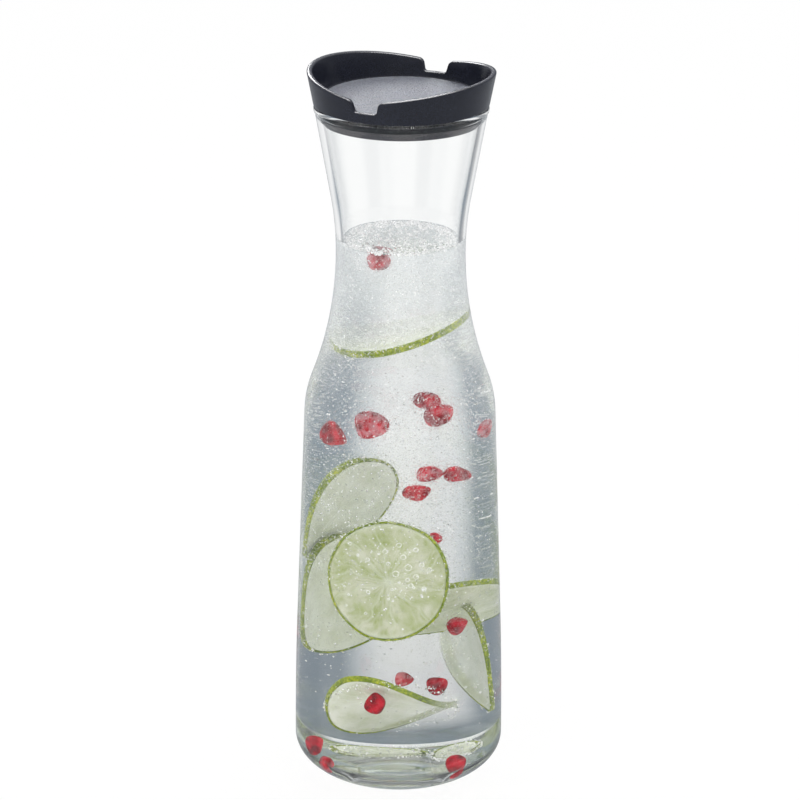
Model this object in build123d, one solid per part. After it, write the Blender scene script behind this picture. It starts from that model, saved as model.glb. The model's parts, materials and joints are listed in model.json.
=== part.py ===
from build123d import *
import os
from math import asin, atan2, cos, pi, radians, sin, sqrt, tan

# A one-litre glass water carafe with a waisted neck and a flared mouth, closed by a
# tilt-to-pour lid. Millimetres, +Z up. The origin is the centre of the foot, on the
# surface that the carafe stands on. The two pouring notches of the lid face -Y and +Y.

# Glass carafe
body_radius = 43.0
contact_radius = 17.0
foot_ring_width = 2.5
base_corner_height = 17.2
floor_thickness = 7.0
floor_flat_radius = 15.0
floor_dome_rise = 1.2
punt_height = 3.2
wall = 2.8
body_taper = 2.0
body_bulge_radius = 1590.0
shoulder_radius = 47.0
neck_curve_radius = 146.0
waist_radius = 26.2
waist_height = 226.2
mouth_curve_radius = 130.0
mouth_flare = 10.25
neck_rise = 61.6
lip_bead_radius = 1.75

# Gaps between pieces
seat_gap = 0.3
seal_clearance = 0.15
sleeve_clearance = 0.35
snap_clearance = 0.05
stem_clearance = 0.05

# Lid collar: the flared cup with its wavy rim, its floor and the spigot below
collar_overhang = 0.15
collar_flare = 10.9
collar_wall = 2.2
collar_foot_rounding = 0.3
rim_side_height = 14.1
rim_notch_height = 9.5
rim_rounding = 0.7
notch_floor_width = 9.2
notch_floor_height = 4.4
notch_side_lean = 14.0
notch_corner_radius = 1.2
notch_shoulder_radius = 2.8
cup_floor_height = 1.0
cup_fillet_radius = 1.7
valve_seat_depth = 0.6
valve_seat_width = 5.0
spigot_wall = 1.5
plug_depth = 7.0
plug_ring_width = 5.7

# Neck seal: a soft ring with thin fins, between the collar and the sleeve
seal_height = 3.7
seal_ring_width = 4.0
seal_fin_count = 2
seal_fin_thickness = 0.7
seal_fin_rise = 0.4

# Plug sleeve: a channel ring, open below, pushed on to the spigot
sleeve_wall = 1.3
sleeve_web_thickness = 1.2
sleeve_edge_rounding = 0.5

# Strainer: a perforated plate with a hub that guides the valve stem
strainer_thickness = 1.0
strainer_recess = 0.4
strainer_rim_wall = 1.3
strainer_rim_height = 2.6
strainer_hole_radius = 1.6
strainer_hole_pitch = 5.6
strainer_hole_rings = 3
hub_radius = 3.6
hub_height = 3.6

# Valve: a round plate that closes the bore, with its washer, stem, weight and clip
disc_thickness = 1.1
disc_edge_rounding = 0.35
boss_radius = 4.6
boss_depth = 2.4
washer_thickness = 0.6
washer_width = 3.6
valve_travel = 3.5
stem_radius = 1.5
stem_socket_depth = 0.4
stem_tip_length = 0.6
stem_tip_chamfer = 0.3
weight_radius = 6.5
weight_height = 2.8
weight_rounding = 0.5
clip_thickness = 0.6
clip_radius = 3.0
clip_groove_depth = 0.35
clip_gap_width = 1.6


# How near an edge must lie to a wall to count as one of its edges
edge_tolerance = 0.05

# Height of the lip
mouth_height = waist_height + neck_rise


def arc(centre, radius, start, end):
    """Arc about a centre from one angle to another, in radians, as (radius, height)."""
    angles = (start, (start + end) / 2, end)
    points = [(centre[0] + radius * cos(a), centre[1] + radius * sin(a)) for a in angles]
    return ThreePointArc(*points)


def base_corner(inner_radius, low, outer_radius, high):
    """Quarter oval from a flat floor at inner_radius up to an upright wall."""
    centre = (inner_radius, high)
    return EllipticalCenterArc(centre, outer_radius - inner_radius, high - low, 270, arc_size=90)


def upright_face(edges):
    """Closed face in the XZ plane from edges drawn as (radius, height)."""
    return Plane.XZ * make_face(edges)


def turned(points):
    """Solid of revolution from the corners of its half section."""
    return revolve(upright_face([Polyline(*points, close=True)]), Axis.Z)


def ring(inner, outer, low, high):
    """Plain ring or, with no inner radius, a plain disc."""
    return turned([(inner, low), (outer, low), (outer, high), (inner, high)])


def cone_radius(height):
    """Outer radius of the straight flared mouth at a height."""
    flare = radians(mouth_flare)
    start_height = waist_height + mouth_curve_radius * sin(flare)
    start_radius = waist_radius + mouth_curve_radius * (1 - cos(flare))
    return start_radius + tan(flare) * (height - start_height)


def lip_centre():
    """Centre of the round lip bead, in the middle of the mouth's wall."""
    height = mouth_height - lip_bead_radius
    return cone_radius(height) - wall / 2 / cos(radians(mouth_flare)), height


def mouth_bore(height):
    """Inner radius of the mouth at a height, taken at the lip bead where that is nearer."""
    straight = cone_radius(height) - wall / cos(radians(mouth_flare))
    bead_radius, bead_height = lip_centre()
    reach = lip_bead_radius**2 - (height - bead_height) ** 2
    if reach <= 0:
        return straight
    return min(straight, bead_radius - sqrt(reach))


def glass_side(inset):
    """Side of the glass at a depth under its outer surface, from the top of the base
    corner to the straight mouth: long bulge, straight taper, shoulder, then the waist."""
    taper = radians(body_taper)
    bulge = body_bulge_radius - inset
    shoulder = shoulder_radius - inset
    lower_neck = neck_curve_radius + inset
    upper_neck = mouth_curve_radius + inset
    waist = waist_radius - inset
    bulge_centre = Vector(body_radius - inset - bulge, base_corner_height)
    neck_centre = Vector(waist + lower_neck, waist_height)
    mouth_centre = Vector(waist + upper_neck, waist_height)
    outward = Vector(cos(taper), sin(taper))
    along = Vector(-sin(taper), cos(taper))
    taper_start = bulge_centre + outward * bulge
    # The shoulder's circle slides up the taper until it touches the neck's circle.
    first = taper_start - outward * shoulder - neck_centre
    reach = shoulder + lower_neck
    lean = first.dot(along)
    run = -lean - sqrt(lean**2 - first.dot(first) + reach**2)
    taper_end = taper_start + along * run
    shoulder_centre = taper_end - outward * shoulder
    across = neck_centre - shoulder_centre
    turn = atan2(across.Y, across.X)
    return [
        arc((bulge_centre.X, bulge_centre.Y), bulge, 0, taper),
        Line(taper_start, taper_end),
        arc((shoulder_centre.X, shoulder_centre.Y), shoulder, taper, turn),
        arc((neck_centre.X, neck_centre.Y), lower_neck, pi + turn, pi),
        arc((mouth_centre.X, mouth_centre.Y), upper_neck, pi, pi - radians(mouth_flare)),
    ]


def make_glass_body():
    """Glass body: pushed-up foot, oval base corner, side, round lip, and the side again
    on the inside, down to a thick floor."""
    flare = radians(mouth_flare)
    outer = glass_side(0)
    inner = glass_side(wall)
    wrap = asin(wall / 2 / lip_bead_radius)
    bead = arc(lip_centre(), lip_bead_radius, wrap - pi / 2 - flare, 3 * pi / 2 - wrap - flare)
    foot_inner = contact_radius - foot_ring_width
    floor_top = floor_thickness + floor_dome_rise
    edges = [
        TangentArc((0, punt_height), (foot_inner, 0), tangent=(1, 0)),
        Line((foot_inner, 0), (contact_radius, 0)),
        base_corner(contact_radius, 0, body_radius, base_corner_height),
        *outer,
        Line(outer[-1] @ 1, bead @ 0),
        bead,
        Line(bead @ 1, inner[-1] @ 1),
        *inner,
        base_corner(floor_flat_radius, floor_thickness, body_radius - wall, base_corner_height),
        TangentArc((0, floor_top), (floor_flat_radius, floor_thickness), tangent=(1, 0)),
        Line((0, floor_top), (0, punt_height)),
    ]
    return revolve(upright_face(edges), Axis.Z)


# Heights that several lid pieces share
lid_base = mouth_height + seat_gap
cup_floor = lid_base + cup_floor_height
seal_bottom = lid_base - seal_height
plug_bottom = lid_base - plug_depth
strainer_bottom = plug_bottom + strainer_recess
disc_bottom = cup_floor + seat_gap
weight_top = strainer_bottom - valve_travel - seat_gap
weight_bottom = weight_top - weight_height
clip_bottom = weight_bottom - clip_thickness

# Radii that several lid pieces share
collar_foot_radius = lip_centre()[0] + lip_bead_radius + collar_overhang
collar_wall_run = collar_wall / cos(radians(collar_flare))
spigot_radius = mouth_bore(plug_bottom) - plug_ring_width
bore_radius = spigot_radius - spigot_wall
push_fit_radius = spigot_radius + snap_clearance


def collar_radius(height):
    """Outer radius of the flared collar at a height."""
    return collar_foot_radius + tan(radians(collar_flare)) * (height - lid_base)


cup_radius = collar_radius(cup_floor) - collar_wall_run
disc_radius = cup_radius - cup_fillet_radius


def rim_cutter():
    """Everything above the rim line, as seen along Y: the line falls from both sides to
    the middle, where it drops round two shoulders into a flat-floored notch."""
    side_height = lid_base + rim_side_height
    side = Vector(collar_radius(side_height), side_height)
    lean = radians(notch_side_lean)
    floor_height = lid_base + notch_floor_height

    def beside_notch_side(height, gap):
        """Point at a height, at a distance outside the notch's leaning side."""
        run = tan(lean) * (height - floor_height) + gap / cos(lean)
        return Vector(notch_floor_width / 2 + run, height)

    corner = beside_notch_side(floor_height + notch_corner_radius, -notch_corner_radius)
    shoulder_height = lid_base + rim_notch_height - notch_shoulder_radius
    shoulder = beside_notch_side(shoulder_height, notch_shoulder_radius)
    # The sloping line is tangent to the shoulder and passes through the rim at the side.
    reach = side - shoulder
    slope = atan2(reach.Y, reach.X) - asin(notch_shoulder_radius / reach.length)
    past_side = side + Vector(cos(slope), sin(slope)) * collar_wall
    shoulder_arc = arc(
        (shoulder.X, shoulder.Y), notch_shoulder_radius, pi - lean, pi / 2 + slope
    )
    corner_arc = arc((corner.X, corner.Y), notch_corner_radius, -pi / 2, -lean)
    top = Vector(past_side.X, past_side.Y + collar_wall)
    half = [
        Line((0, floor_height), corner_arc @ 0),
        corner_arc,
        Line(corner_arc @ 1, shoulder_arc @ 0),
        shoulder_arc,
        Line(shoulder_arc @ 1, past_side),
        Line(past_side, top),
        Line(top, (0, top.Y)),
    ]
    outline = half + [mirror(edge, Plane.YZ) for edge in half]
    return extrude(upright_face(outline), past_side.X, both=True)


def rim_edges(collar):
    """Edges of the rim and notches that run along the outer or the inner wall."""
    lowest = lid_base + notch_floor_height - edge_tolerance
    chosen = []
    for edge in collar.edges():
        ends = [edge @ 0, edge @ 0.5, edge @ 1]
        offsets = [collar_radius(p.Z) - sqrt(p.X**2 + p.Y**2) for p in ends]
        low_enough = min(p.Z for p in ends) > lowest
        on_outer = max(abs(gap) for gap in offsets) < edge_tolerance
        on_inner = max(abs(gap - collar_wall_run) for gap in offsets) < edge_tolerance
        if low_enough and (on_outer or on_inner):
            chosen.append(edge)
    return chosen


def make_lid_collar():
    """Moulded cup that stands on the lip, with the spigot that hangs in the mouth. One
    quarter is turned, cut and rounded, and then mirrored twice."""
    flare = radians(collar_flare)
    rim_height = lid_base + rim_side_height
    rim_radius = collar_radius(rim_height)
    inner_rim_radius = rim_radius - collar_wall_run
    seat_radius = bore_radius + valve_seat_width
    seat_height = cup_floor - valve_seat_depth
    fillet_centre = (
        cup_radius + cup_fillet_radius * (tan(flare) - 1 / cos(flare)),
        cup_floor + cup_fillet_radius,
    )
    fillet_arc = arc(fillet_centre, cup_fillet_radius, -pi / 2, -flare)
    foot_centre = (collar_foot_radius - collar_foot_rounding, lid_base + collar_foot_rounding)
    foot_arc = arc(foot_centre, collar_foot_rounding, -pi / 2, 0)
    edges = [
        Line((spigot_radius, lid_base), foot_arc @ 0),
        foot_arc,
        Line(foot_arc @ 1, (rim_radius, rim_height)),
        Line((rim_radius, rim_height), (inner_rim_radius, rim_height)),
        Line((inner_rim_radius, rim_height), fillet_arc @ 1),
        fillet_arc,
        Line(fillet_arc @ 0, (seat_radius, cup_floor)),
        Line((seat_radius, cup_floor), (seat_radius, seat_height)),
        Line((seat_radius, seat_height), (bore_radius, seat_height)),
        Line((bore_radius, seat_height), (bore_radius, plug_bottom)),
        Line((bore_radius, plug_bottom), (spigot_radius, plug_bottom)),
        Line((spigot_radius, plug_bottom), (spigot_radius, lid_base)),
    ]
    quarter = revolve(upright_face(edges), Axis.Z, revolution_arc=90) - rim_cutter()
    quarter = fillet(rim_edges(quarter), rim_rounding)
    half = quarter + mirror(quarter, Plane.YZ)
    return half + mirror(half, Plane.XZ)


def make_neck_seal():
    """Soft ring round the spigot, with thin fins that slope up and out to the glass."""
    ring_radius = push_fit_radius + seal_ring_width
    points = [
        (push_fit_radius, lid_base),
        (push_fit_radius, seal_bottom),
        (ring_radius, seal_bottom),
    ]
    for index in range(seal_fin_count):
        middle = seal_bottom + (index + 0.5) * seal_height / seal_fin_count
        root = middle - seal_fin_thickness / 2
        tip = root + seal_fin_rise
        tip_top = tip + seal_fin_thickness
        narrowest = min(mouth_bore(tip), mouth_bore((tip + tip_top) / 2), mouth_bore(tip_top))
        tip_radius = narrowest - seal_clearance
        points += [
            (ring_radius, root),
            (tip_radius, tip),
            (tip_radius, tip_top),
            (ring_radius, root + seal_fin_thickness),
        ]
    points.append((ring_radius, lid_base))
    return turned(points)


def make_plug_sleeve():
    """Channel ring under the seal: outer skirt that follows the glass, web and inner wall."""
    top_radius = mouth_bore(seal_bottom) - sleeve_clearance
    low_radius = mouth_bore(plug_bottom) - sleeve_clearance
    web_bottom = seal_bottom - sleeve_web_thickness
    inner_wall_radius = push_fit_radius + sleeve_wall
    sleeve = turned(
        [
            (push_fit_radius, plug_bottom),
            (inner_wall_radius, plug_bottom),
            (inner_wall_radius, web_bottom),
            (top_radius - sleeve_wall, web_bottom),
            (low_radius - sleeve_wall, plug_bottom),
            (low_radius, plug_bottom),
            (top_radius, seal_bottom),
            (push_fit_radius, seal_bottom),
        ]
    )
    low_edges = sleeve.edges().filter_by(GeomType.CIRCLE).group_by(Axis.Z)[0]
    return fillet(low_edges.sort_by(SortBy.RADIUS)[-1], sleeve_edge_rounding)


def make_strainer():
    """Perforated plate in a shallow rim, with the hub in which the stem slides."""
    rim_radius = bore_radius - snap_clearance
    rim_inner = rim_radius - strainer_rim_wall
    plate_top = strainer_bottom + strainer_thickness
    strainer = ring(0, rim_radius, strainer_bottom, plate_top)
    strainer += ring(rim_inner, rim_radius, strainer_bottom, strainer_bottom + strainer_rim_height)
    strainer += ring(0, hub_radius, strainer_bottom, strainer_bottom + hub_height)
    middle = strainer_bottom + strainer_thickness / 2
    ring_step = (rim_inner - hub_radius) / strainer_hole_rings
    holes = []
    for index in range(strainer_hole_rings):
        hole_circle = hub_radius + (index + 0.5) * ring_step
        count = round(2 * pi * hole_circle / strainer_hole_pitch)
        cutter = Cylinder(strainer_hole_radius, 2 * strainer_thickness)
        holes += [Pos(Z=middle) * spot * cutter for spot in PolarLocations(hole_circle, count)]
    guide = Pos(Z=strainer_bottom) * Cylinder(stem_radius + stem_clearance, 2 * hub_height)
    return strainer - holes - guide


def make_valve_disc():
    """Round plate over the bore, with a boss below that holds the stem."""
    disc_top = disc_bottom + disc_thickness
    disc = ring(0, disc_radius, disc_bottom, disc_top)
    disc = fillet(disc.edges().group_by(Axis.Z)[-1], disc_edge_rounding)
    disc += ring(0, boss_radius, disc_bottom - boss_depth, disc_bottom)
    return disc - ring(0, stem_radius, disc_bottom - boss_depth, disc_bottom + stem_socket_depth)


def make_valve_washer():
    """Flat soft ring under the disc, in the middle of the seat."""
    inner = bore_radius + (valve_seat_width - washer_width) / 2
    return ring(inner, inner + washer_width, disc_bottom - washer_thickness, disc_bottom)


def make_valve_stem():
    """Round pin from the disc down through the hub, grooved for the clip."""
    tip = clip_bottom - stem_tip_length
    stem = ring(0, stem_radius, tip, disc_bottom + stem_socket_depth)
    stem = chamfer(stem.edges().group_by(Axis.Z)[0], stem_tip_chamfer)
    return stem - ring(stem_radius - clip_groove_depth, clip_radius, clip_bottom, weight_bottom)


def make_valve_weight():
    """Steel slug pressed on the stem: it pulls the disc shut, or open when tipped."""
    weight = ring(0, weight_radius, weight_bottom, weight_top)
    weight = fillet(weight.edges().filter_by(GeomType.CIRCLE), weight_rounding)
    return weight - ring(0, stem_radius, weight_bottom, weight_top)


def make_stem_clip():
    """Open spring clip in the stem's groove, under the weight."""
    clip = ring(stem_radius - clip_groove_depth, clip_radius, clip_bottom, weight_bottom)
    sideways = (Align.MIN, Align.CENTER, Align.CENTER)
    gap = Box(clip_radius, clip_gap_width, 3 * clip_thickness, align=sideways)
    return clip - Pos(Z=clip_bottom) * gap


parts = {
    "glass_body": make_glass_body(),
    "lid_collar": make_lid_collar(),
    "neck_seal": make_neck_seal(),
    "plug_sleeve": make_plug_sleeve(),
    "strainer": make_strainer(),
    "valve_disc": make_valve_disc(),
    "valve_washer": make_valve_washer(),
    "valve_stem": make_valve_stem(),
    "valve_weight": make_valve_weight(),
    "stem_clip": make_stem_clip(),
}

os.makedirs("parts", exist_ok=True)
for name, part in parts.items():
    part.label = name
    export_step(part, f"parts/{name}.step")
    size = part.bounding_box().size
    print(f"{name}: {part.volume:.0f} mm3, {size.X:.1f} x {size.Y:.1f} x {size.Z:.1f} mm")
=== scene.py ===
"""Looks of a one-litre glass carafe of sparkling water with lime slices and red fruit
seeds, closed by a dark notched lid. Lengths are in millimetres until a mesh is made."""
import json
from collections import namedtuple
from math import asin, atan2, cos, pi, radians, sin, sqrt, tan

import bmesh
import bpy
import numpy as np
from mathutils import Matrix

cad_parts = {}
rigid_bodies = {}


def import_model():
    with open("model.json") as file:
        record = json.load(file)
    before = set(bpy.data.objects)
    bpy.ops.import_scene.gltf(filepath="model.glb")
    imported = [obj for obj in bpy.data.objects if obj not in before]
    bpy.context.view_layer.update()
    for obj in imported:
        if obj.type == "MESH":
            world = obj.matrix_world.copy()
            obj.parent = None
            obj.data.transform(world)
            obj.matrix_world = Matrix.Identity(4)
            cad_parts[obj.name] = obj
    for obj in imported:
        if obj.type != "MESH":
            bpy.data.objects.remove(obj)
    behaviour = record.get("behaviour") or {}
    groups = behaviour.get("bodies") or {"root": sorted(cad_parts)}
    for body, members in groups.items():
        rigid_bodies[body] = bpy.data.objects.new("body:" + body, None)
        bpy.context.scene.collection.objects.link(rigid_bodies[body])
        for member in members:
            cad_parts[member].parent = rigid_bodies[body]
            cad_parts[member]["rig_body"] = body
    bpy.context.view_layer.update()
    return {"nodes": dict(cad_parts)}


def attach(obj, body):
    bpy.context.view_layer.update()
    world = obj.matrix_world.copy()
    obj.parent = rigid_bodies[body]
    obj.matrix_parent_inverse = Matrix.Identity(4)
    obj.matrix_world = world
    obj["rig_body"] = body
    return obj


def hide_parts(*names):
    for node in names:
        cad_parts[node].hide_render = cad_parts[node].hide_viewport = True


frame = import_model()

MM = 0.001

# Camera: where the photograph was taken from
camera_distance = 1720.0
camera_height = 758.4
camera_azimuth = radians(23.5)
camera_pitch = radians(19.11)
camera_roll = radians(0.28)
camera_lens = 200.6
camera_sensor = 36.0

# Glass, as in the frame
body_radius = 43.0
contact_radius = 17.0
foot_ring_width = 2.5
base_corner_height = 17.2
floor_thickness = 7.0
floor_flat_radius = 15.0
floor_dome_rise = 1.2
punt_height = 3.2
wall = 2.8
body_taper = radians(2.0)
body_bulge_radius = 1590.0
shoulder_radius = 47.0
neck_curve_radius = 146.0
waist_radius = 26.2
waist_height = 226.2
mouth_curve_radius = 130.0
mouth_flare = radians(10.25)
mouth_height = 287.8
lip_bead_radius = 1.75

# Azimuth of one of the four bright backdrops, which stand at right angles to each other
bright_azimuth = radians(29.5)

# Azimuth of the side of the glass that the water's skin is clearest on
clear_azimuth = radians(-66.5)

# Water
water_level = 232.0
water_overlap = 0.12
meniscus_width = 6.0
meniscus_rise = 0.8
meniscus_fade = 1.2

# Lime slices: the peel's width, its overlap with the flesh, how far the flesh's faces lie
# under the peel's, and the rounding of every edge
rind_width = 0.9
rind_overlap = 0.05
pulp_recess = 0.05
slice_rounding = 0.3

# Floor: half its width, its gap under the carafe, and the height that the lamps aim at
floor_reach = 8000.0
floor_gap = 0.2
lamp_aim_height = 160.0


# Shapes


def arc(centre, radius, start, end, count):
    """Points on a circle about a centre, from one angle to the other: the centre plus
    the radius times the cosine and the sine."""
    angle = np.linspace(start, end, count)
    return np.stack([centre[0] + radius * np.cos(angle), centre[1] + radius * np.sin(angle)], 1)


def base_corner(inner_edge, low, outer_edge, high, count):
    """Quarter oval from a flat floor up to an upright wall: sine and cosine of an angle,
    stretched by the run and by the rise."""
    angle = np.linspace(0, pi / 2, count)
    run, rise = outer_edge - inner_edge, high - low
    return np.stack([inner_edge + run * np.sin(angle), high - rise * np.cos(angle)], 1)


def dome(edge_radius, edge_height, rise, count):
    """Shallow dome from the axis out to its edge: an arc through the top and the edge."""
    radius = (edge_radius**2 + rise**2) / (2 * rise)
    out = np.linspace(0, edge_radius, count)
    return np.stack([out, edge_height + rise - radius + np.sqrt(radius**2 - out**2)], 1)


def glass_side(inset):
    """Side of the glass at a depth under its outside: long bulge, straight taper, shoulder
    and the two curves of the waist, each an arc that starts where the last one ends."""
    bulge, shoulder = body_bulge_radius - inset, shoulder_radius - inset
    lower_neck, upper_neck = neck_curve_radius + inset, mouth_curve_radius + inset
    waist = waist_radius - inset
    bulge_centre = np.array([body_radius - inset - bulge, base_corner_height])
    neck_centre = np.array([waist + lower_neck, waist_height])
    mouth_centre = np.array([waist + upper_neck, waist_height])
    outward = np.array([cos(body_taper), sin(body_taper)])
    along = np.array([-sin(body_taper), cos(body_taper)])
    taper_start = bulge_centre + outward * bulge
    first = taper_start - outward * shoulder - neck_centre
    reach = shoulder + lower_neck
    lean = first @ along
    run = -lean - sqrt(lean**2 - first @ first + reach**2)
    shoulder_centre = taper_start + along * run - outward * shoulder
    across = neck_centre - shoulder_centre
    turn = atan2(across[1], across[0])
    steps = np.linspace(0, 1, 30)[1:-1, None]
    return np.vstack(
        [
            arc(bulge_centre, bulge, 0, body_taper, count=24),
            taper_start + steps * along * run,
            arc(shoulder_centre, shoulder, body_taper, turn, count=40),
            arc(neck_centre, lower_neck, pi + turn, pi, count=40)[1:],
            arc(mouth_centre, upper_neck, pi, pi - mouth_flare, count=24)[1:],
        ]
    )


def inner_floor(inset):
    """Floor and base corner on the inside, from the axis out to the wall, sunk by inset."""
    low = floor_thickness - inset
    floor = dome(floor_flat_radius, low, floor_dome_rise, count=14)
    corner = base_corner(floor_flat_radius, low, body_radius - wall + inset, base_corner_height, count=34)
    return np.vstack([floor[:-1], corner[:-1]])


def inner_radius(height):
    """Radius of the inside of the glass at a height, read off the inner profile."""
    side = np.vstack([inner_floor(0), glass_side(wall)])
    return np.interp(height, side[:, 1], side[:, 0])


def glass_profile():
    """Half section of the glass, from the middle of the foot over the lip to the middle of
    the floor."""
    outer, inner = glass_side(0), glass_side(wall)
    start = outer[-1]
    bead_height = mouth_height - lip_bead_radius
    cone_radius = start[0] + tan(mouth_flare) * (bead_height - start[1])
    bead_centre = (cone_radius - wall / 2 / cos(mouth_flare), bead_height)
    wrap = asin(wall / 2 / lip_bead_radius)
    bead_start, bead_end = wrap - pi / 2 - mouth_flare, 1.5 * pi - wrap - mouth_flare
    bead = arc(bead_centre, lip_bead_radius, bead_start, bead_end, count=28)
    steps = np.linspace(0, 1, 16)[1:-1, None]
    return np.vstack(
        [
            dome(contact_radius - foot_ring_width, 0, punt_height, count=16),
            base_corner(contact_radius, 0, body_radius, base_corner_height, count=36)[:-1],
            outer,
            start + steps * (bead[0] - start),
            bead,
            inner[-1] + steps[::-1] * (bead[-1] - inner[-1]),
            inner[::-1],
            inner_floor(0)[::-1],
        ]
    )


def water_profile():
    """Half section of the water, from the middle of the floor up the wall, a hair inside
    the glass so that no air lies between, and back over a level top. Its edge climbs the
    glass by a height that fades with the distance from it."""
    side = glass_side(wall - water_overlap)
    side = side[side[:, 1] < water_level]
    wall_radius = np.interp(water_level, side[:, 1], side[:, 0])
    away = np.linspace(0, meniscus_width, 16)
    rise = meniscus_rise * np.exp(-away / meniscus_fade)
    rim = np.stack([wall_radius - away, water_level + rise], 1)
    return np.vstack([inner_floor(water_overlap), side, rim, [[0, water_level]]])


def in_scene(name, data):
    """Object in the scene that shows a mesh, a lamp or a lens."""
    made = bpy.data.objects.new(name, data)
    bpy.context.scene.collection.objects.link(made)
    return made


def new_object(name, points, faces, smooth=True):
    """Object from points in millimetres and lists of corners."""
    mesh = bpy.data.meshes.new(name)
    mesh.from_pydata((np.asarray(points) * MM).tolist(), [], faces)
    mesh.validate()
    mesh.polygons.foreach_set("use_smooth", np.full(len(mesh.polygons), smooth))
    return in_scene(name, mesh)


def grid_faces(rows, columns, wrap_rows=False):
    """Quads between neighbouring points of a grid, counted row by row, each row closed."""
    index = np.arange(rows * columns).reshape(rows, columns)
    if wrap_rows:
        index = np.vstack([index, index[:1]])
    index = np.hstack([index, index[:, :1]])
    corners = [index[:-1, :-1], index[:-1, 1:], index[1:, 1:], index[1:, :-1]]
    return np.stack([c.ravel() for c in corners], 1)


def pole_faces(rows, columns):
    """Triangles from a grid's first and last rows to the two poles, whose points follow
    those of the grid."""
    first = np.arange(columns)
    last = first + (rows - 1) * columns
    start_pole, end_pole = rows * columns, rows * columns + 1
    faces = [[start_pole, b, a] for a, b in zip(first, np.roll(first, -1))]
    return faces + [[end_pole, a, b] for a, b in zip(last, np.roll(last, -1))]


def outwards(piece):
    """Turns all faces over if the piece's volume, summed over its faces, is negative."""
    shape = bmesh.new()
    shape.from_mesh(piece.data)
    if shape.calc_volume(signed=True) < 0:
        bmesh.ops.reverse_faces(shape, faces=shape.faces)
    shape.to_mesh(piece.data)
    shape.free()
    return piece


def join_touching(piece):
    """Merges the points of a piece that lie on each other."""
    shape = bmesh.new()
    shape.from_mesh(piece.data)
    bmesh.ops.remove_doubles(shape, verts=shape.verts, dist=1e-6)
    shape.to_mesh(piece.data)
    shape.free()


def revolve(name, profile, segments):
    """Surface of revolution: each profile point (radius, height) goes round the Z axis, and
    the two ends, which lie on the axis, are poles."""
    angle = np.linspace(0, 2 * pi, segments, endpoint=False)
    ring = profile[1:-1]
    x = ring[:, :1] * np.cos(angle)
    y = ring[:, :1] * np.sin(angle)
    z = np.repeat(ring[:, 1:], segments, 1)
    poles = [[0, 0, profile[0, 1]], [0, 0, profile[-1, 1]]]
    points = np.vstack([np.stack([x, y, z], 2).reshape(-1, 3), poles])
    faces = grid_faces(len(ring), segments).tolist() + pole_faces(len(ring), segments)
    return outwards(new_object(name, points, faces))


def smoothed_copy(node_name):
    """Copy of a CAD node with its loose triangles joined, shaded smooth over edges that
    turn by up to 30 degrees."""
    source = frame["nodes"][node_name]
    piece = in_scene(node_name + "_shell", source.data.copy())
    join_touching(piece)
    piece.data.materials.clear()
    piece.data.polygons.foreach_set("use_smooth", np.full(len(piece.data.polygons), True))
    piece.data.set_sharp_from_angle(angle=radians(30))
    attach(piece, source["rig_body"])
    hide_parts(node_name)
    return piece


# Shader helpers


def add(tree, kind, links=None, **values):
    """Shader node with its plain properties set, its sockets filled and its inputs linked."""
    made = tree.nodes.new("ShaderNode" + kind)
    for key, value in values.items():
        if hasattr(made, key):
            setattr(made, key, value)
        else:
            made.inputs[key.replace("_", " ")].default_value = value
    for key, source in (links or {}).items():
        tree.links.new(source, made.inputs[key])
    return made


def feed(tree, value, socket):
    """Fills a socket with a number, or links another socket to it."""
    if isinstance(value, (int, float)):
        socket.default_value = value
    else:
        tree.links.new(value, socket)


def math(tree, operation, first, second=None, third=None, clamp=False):
    """Output of one Math node; each input is a number or a socket."""
    made = add(tree, "Math", operation=operation, use_clamp=clamp)
    for socket, value in zip(made.inputs, (first, second, third)):
        if value is not None:
            feed(tree, value, socket)
    return made.outputs[0]


def times(tree, first, second):
    """Product of two numbers."""
    return math(tree, "MULTIPLY", first, second)


def plus(tree, first, second):
    """Sum of two numbers."""
    return math(tree, "ADD", first, second)


def between(tree, value, low, high, start=0.0, end=1.0):
    """Value that runs from start to end while the input runs from low to high."""
    reach = {"From_Min": low, "From_Max": high, "To_Min": start, "To_Max": end}
    return add(tree, "MapRange", {"Value": value}, **reach).outputs[0]


def noise(tree, vector, scale, detail):
    """Noise from 0 to 1, of a scale and a number of finer layers."""
    made = add(tree, "TexNoise", {"Vector": vector}, Detail=detail)
    feed(tree, scale, made.inputs["Scale"])
    return made.outputs["Fac"]


def ramp(tree, factor, stops):
    """Colour ramp output, from a list of places and colours."""
    made = add(tree, "ValToRGB", {0: factor})
    elements = made.color_ramp.elements
    while len(elements) < len(stops):
        elements.new(0.5)
    for element, (place, colour) in zip(elements, stops):
        element.position = place
        element.color = (*colour, 1)
    return made.outputs[0]


def greys(*stops):
    """Stops of a ramp of greys, from places and values."""
    return [(place, (value,) * 3) for place, value in stops]


def mix_colour(tree, factor, first, second):
    """Mix of two colours, each a socket or a plain colour."""
    made = add(tree, "Mix", data_type="RGBA")
    tree.links.new(factor, made.inputs["Factor"])
    for name, value in (("A", first), ("B", second)):
        socket = [s for s in made.inputs if s.name == name and s.type == "RGBA"][0]
        if isinstance(value, tuple):
            socket.default_value = (*value, 1)
        else:
            tree.links.new(value, socket)
    return [s for s in made.outputs if s.type == "RGBA"][0]


def multiplied(tree, first, second):
    """Product of two colours."""
    return add(tree, "VectorMath", {0: first, 1: second}, operation="MULTIPLY").outputs[0]


def object_coordinates(tree):
    """Place on the object, in metres."""
    return add(tree, "TexCoord").outputs["Object"]


def painted(tree, name):
    """Number that a piece carries on its points under a name."""
    return add(tree, "Attribute", attribute_name=name).outputs["Fac"]


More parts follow.
